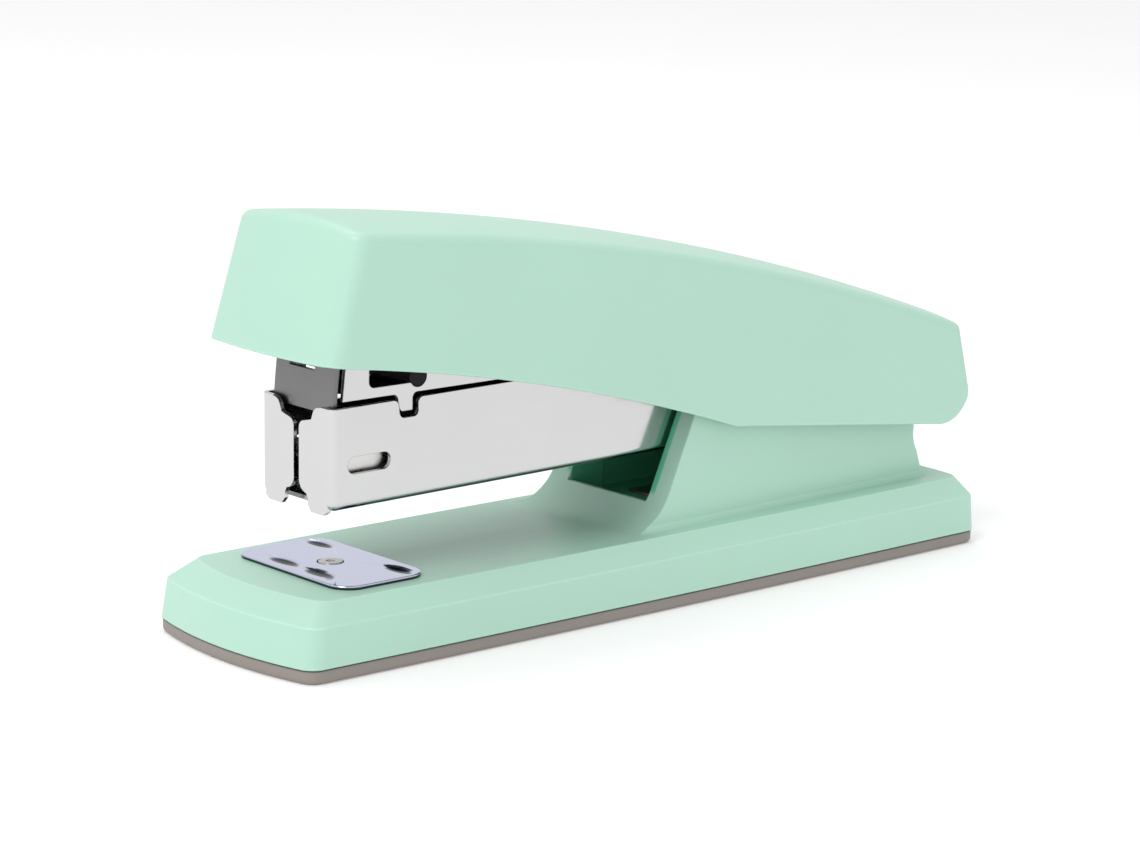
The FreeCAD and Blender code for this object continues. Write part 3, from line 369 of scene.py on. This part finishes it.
def magazine_material(colour):
    """Plated steel, with painted shade along its lower fold behind the nose."""
    material = metal_material("Bright Plated Steel", colour, 0.13, 0.05, 0.03)
    tree = material.node_tree
    down = (0.01117, 0, -1.0)
    rearwards = (1.0, 0, 0)
    # Painted shade: a dark grey band laid along the lower fold's bend behind the nose, where the bend lies
    # in shade.
    fold = plane_mask(tree, down, -0.02052, -0.02030)
    behind_nose = plane_mask(tree, rearwards, -0.0507, -0.0500)
    shade = multiplied(tree, fold, behind_nose)
    lay_tone(tree, tree.nodes["Principled BSDF"], shade, (0.10, 0.10, 0.105))
    return material


def anvil_material(colour):
    """Chrome, with painted shade in its grooves and along its edges."""
    material = metal_material("Anvil Chrome", colour, 0.10, 0.04, 0.01)
    tree = material.node_tree
    # Painted shade: everything below the plate's top face, the pressed grooves and the plate's side edges,
    # is darkened in colour.
    painted_groove_shade = plane_mask(tree, (0, 0, -1.0), -0.01032, -0.01020)
    lay_tone(tree, tree.nodes["Principled BSDF"], painted_groove_shade, (0.05, 0.06, 0.06))
    return material


def make_materials():
    look = finish_values()
    zinc = (0.60, 0.59, 0.57)
    spring = (0.30, 0.29, 0.28)
    wire = (0.64, 0.63, 0.62)
    black = (0.012, 0.012, 0.013)
    across = (700, 700, 700)
    return {
        "mint_plastic": shell_material(look.mint, look.mint_roughness),
        "pad_grey": plastic_material("Pad Elastomer", look.pad, 0.58, 0.14, 0.5),
        "pusher_black": plastic_material("Black Acetal", black, 0.42, 0.10, 0.25),
        "bright_steel": magazine_material(look.bright),
        "blade_steel": metal_material("Ground Blade Steel", look.blade, 0.30, 0.12, 0.05, (1200, 900, 60)),
        "anvil_chrome": anvil_material(look.anvil),
        "zinc_steel": metal_material("Zinc Plated Steel", zinc, 0.30, 0.15, 0.12, across),
        "spring_steel": metal_material("Spring Steel", spring, 0.30, 0.18, 0.12, (900, 900, 120)),
        "staple_wire": metal_material("Staple Wire", wire, 0.28, 0.12, 0.10, (300, 900, 900)),
        "dark_steel": metal_material("Blackened Steel", look.dark, 0.34, 0.3, 0.15, across),
    }


def material_for(slot):
    if not MATERIALS:
        MATERIALS.update(make_materials())
    return MATERIALS[slot]


# ------------------------------------------------------------------ mesh helpers
def select_only(piece):
    bpy.ops.object.select_all(action="DESELECT")
    piece.select_set(True)
    bpy.context.view_layer.objects.active = piece


def merged_copy(node_name, piece_name):
    """Clean solid mesh of a CAD node, for a piece that stands for it."""
    source = NODES[node_name]
    piece = bpy.data.objects.new(piece_name, source.data.copy())
    bpy.context.scene.collection.objects.link(piece)
    piece.data.materials.clear()
    select_only(piece)
    bpy.ops.object.mode_set(mode="EDIT")
    bpy.ops.mesh.select_all(action="SELECT")
    bpy.ops.mesh.remove_doubles(threshold=MERGE_REACH)
    bpy.ops.mesh.customdata_custom_splitnormals_clear()
    bpy.ops.object.mode_set(mode="OBJECT")
    return piece


def stand_for(piece, node_name):
    """Gives a piece its node's finish and body, and hides the node."""
    piece.data.materials.append(material_for(SLOT_OF[node_name]))
    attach(piece, BODY_OF[node_name])
    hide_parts(node_name)


def dress(*node_names):
    """Smooth-shaded pieces in place of the nodes."""
    for name in node_names:
        piece = merged_copy(name, name + "_finished")
        select_only(piece)
        bpy.ops.object.shade_smooth_by_angle(angle=SMOOTH_ANGLE)
        even = piece.modifiers.new("Even Normals", "WEIGHTED_NORMAL")
        even.mode = "FACE_AREA"
        even.weight = 50
        even.keep_sharp = True
        bpy.ops.object.modifier_apply(modifier=even.name)
        stand_for(piece, name)


def flatten_spring(node_name):
    """Gives a spring's finished piece a mesh of its own."""
    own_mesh(bpy.data.objects[node_name + "_finished"])


# ------------------------------------------------------------------ operators
class STAPLER_OT_cap(bpy.types.Operator):
    """Moulded cap with its softly rounded edges"""

    bl_idname = "stapler.cap"
    bl_label = "Cap"

    def execute(self, context):
        dress("cap_shell")
        return {"FINISHED"}


class STAPLER_OT_base(bpy.types.Operator):
    """Base with its tower, and the pad underneath"""

    bl_idname = "stapler.base"
    bl_label = "Base"

    def execute(self, context):
        dress("base_shell", "base_pad")
        return {"FINISHED"}


class STAPLER_OT_sheet_steel(bpy.types.Operator):
    """Magazine, rail, cover, driver frame, blade and anvil plate"""

    bl_idname = "stapler.sheet_steel"
    bl_label = "Sheet steel"

    def execute(self, context):
        dress("magazine_channel", "magazine_cover", "staple_rail", "rod_holders",
              "driver_frame", "driver_blade", "anvil_plate", "anvil_washer")
        return {"FINISHED"}


class STAPLER_OT_small_parts(bpy.types.Operator):
    """Pins, rivets, screws, springs, staples and pusher"""

    bl_idname = "stapler.small_parts"
    bl_label = "Small parts"

    def execute(self, context):
        dress("pad_screws", "pivot_pin", "pin_ring", "magazine_spring", "leaf_screw", "anvil_rivet",
              "rail_rivets", "staple_strip", "guide_rod", "spacer_tube", "pusher", "pusher_spring",
              "cover_pin", "return_spring", "spring_rivets", "blade_rivets", "cap_screws")
        flatten_spring("magazine_spring")
        flatten_spring("return_spring")
        flatten_spring("pusher_spring")
        return {"FINISHED"}


class STAPLER_OT_stage(bpy.types.Operator):
    """Pale floor, soft lights and the camera"""

    bl_idname = "stapler.stage"
    bl_label = "Stage"

    def execute(self, context):
        make_floor()
        make_lights()
        make_camera()
        return {"FINISHED"}


def make_floor():
    reach = size_values().floor_reach
    bpy.ops.object.select_all(action="DESELECT")
    bpy.ops.mesh.primitive_plane_add(size=2 * reach, location=(0, 0, -0.02 * MM))
    floor = bpy.context.active_object
    floor.name = "studio_floor"
    bpy.ops.object.transform_apply(location=True, rotation=True, scale=True)
    material, tree, shader = new_material("Pale Paper")
    paper = tree.nodes.new("ShaderNodeMapRange")
    tree.links.new(noise(tree, object_vector(tree), 30.0, 4.0), paper.inputs["Value"])
    paper.inputs["To Min"].default_value = 0.88
    paper.inputs["To Max"].default_value = 0.90
    tree.links.new(paper.outputs["Result"], shader.inputs["Base Color"])
    shader.inputs["Roughness"].default_value = 0.85
    shader.inputs["Specular IOR Level"].default_value = 0.1
    shader.inputs["Emission Color"].default_value = (*WHITE, 1)
    shader.inputs["Emission Strength"].default_value = 0.15
    floor.data.materials.append(material)


def area_light(name, place, size, power, colour=WHITE):
    """Soft rectangular light that faces the stapler's middle."""
    data = bpy.data.lights.new(name, "AREA")
    data.shape = "RECTANGLE"
    data.size, data.size_y = size
    data.energy = power
    data.color = colour
    lamp = bpy.data.objects.new(name, data)
    bpy.context.scene.collection.objects.link(lamp)
    lamp.location = place
    lamp.rotation_euler = (Vector((0, 0, 0.02)) - Vector(place)).to_track_quat("-Z", "Y").to_euler()


def make_lights():
    world = bpy.context.scene.world or bpy.data.worlds.new("Studio")
    bpy.context.scene.world = world
    world.use_nodes = True
    backdrop = world.node_tree.nodes["Background"]
    backdrop.inputs["Color"].default_value = (*WHITE, 1)
    backdrop.inputs["Strength"].default_value = 0.82
    area_light("key_softbox", (-0.50, -0.10, 0.70), (0.35, 0.35), 2.0)
    area_light("top_softbox", (0.05, 0.32, 0.78), (0.5, 0.4), 1.2)
    area_light("low_fill", (-0.75, -0.40, 0.28), (0.5, 0.15), 0.34, (1.0, 0.96, 1.0))
    view = bpy.context.scene.view_settings
    view.view_transform = "Standard"
    view.look = "None"


def make_camera():
    """Three-quarter view from the nose's left, slightly above the cap."""
    data = bpy.data.cameras.new("view")
    data.sensor_width = 36.0
    data.lens = size_values().lens
    data.clip_start = 0.01
    camera = bpy.data.objects.new("view", data)
    bpy.context.scene.collection.objects.link(camera)
    back = Vector((-0.6534, -0.7270, 0.2112)).normalized()
    level = Vector((0, 0, 1)).cross(back).normalized()
    rise = back.cross(level)
    roll = math.radians(1.4006)
    right = level * math.cos(roll) + rise * math.sin(roll)
    up = rise * math.cos(roll) - level * math.sin(roll)
    aim = Vector((-0.004413, 0.0, 0.023271))
    place = aim + back * 0.448612
    camera.matrix_world = Matrix((
        (right.x, up.x, back.x, place.x),
        (right.y, up.y, back.y, place.y),
        (right.z, up.z, back.z, place.z),
        (0, 0, 0, 1)))
    bpy.context.scene.camera = camera


class STAPLER_PT_panel(bpy.types.Panel):
    """Lists the stapler's pieces and settings"""

    bl_label = "Desk Stapler"
    bl_idname = "STAPLER_PT_panel"
    bl_space_type = "VIEW_3D"
    bl_region_type = "UI"
    bl_category = "Stapler"

    def draw(self, context):
        layout = self.layout
        for settings in (context.scene.stapler_finish, context.scene.stapler_sizes):
            for key in settings.__annotations__:
                layout.prop(settings, key)
        for operator in OPERATORS:
            layout.operator(operator.bl_idname)


OPERATORS = (
    STAPLER_OT_cap,
    STAPLER_OT_base,
    STAPLER_OT_sheet_steel,
    STAPLER_OT_small_parts,
    STAPLER_OT_stage,
)
CLASSES = (StaplerFinish, StaplerSizes) + OPERATORS + (STAPLER_PT_panel,)


def register():
    for cls in CLASSES:
        bpy.utils.register_class(cls)
    bpy.types.Scene.stapler_finish = bpy.props.PointerProperty(type=StaplerFinish)
    bpy.types.Scene.stapler_sizes = bpy.props.PointerProperty(type=StaplerSizes)


def unregister():
    del bpy.types.Scene.stapler_sizes
    del bpy.types.Scene.stapler_finish
    for cls in reversed(CLASSES):
        bpy.utils.unregister_class(cls)


def main():
    register()
    bpy.ops.stapler.cap()
    bpy.ops.stapler.base()
    bpy.ops.stapler.sheet_steel()
    bpy.ops.stapler.small_parts()
    bpy.ops.stapler.stage()


if __name__ == "__main__":
    main()
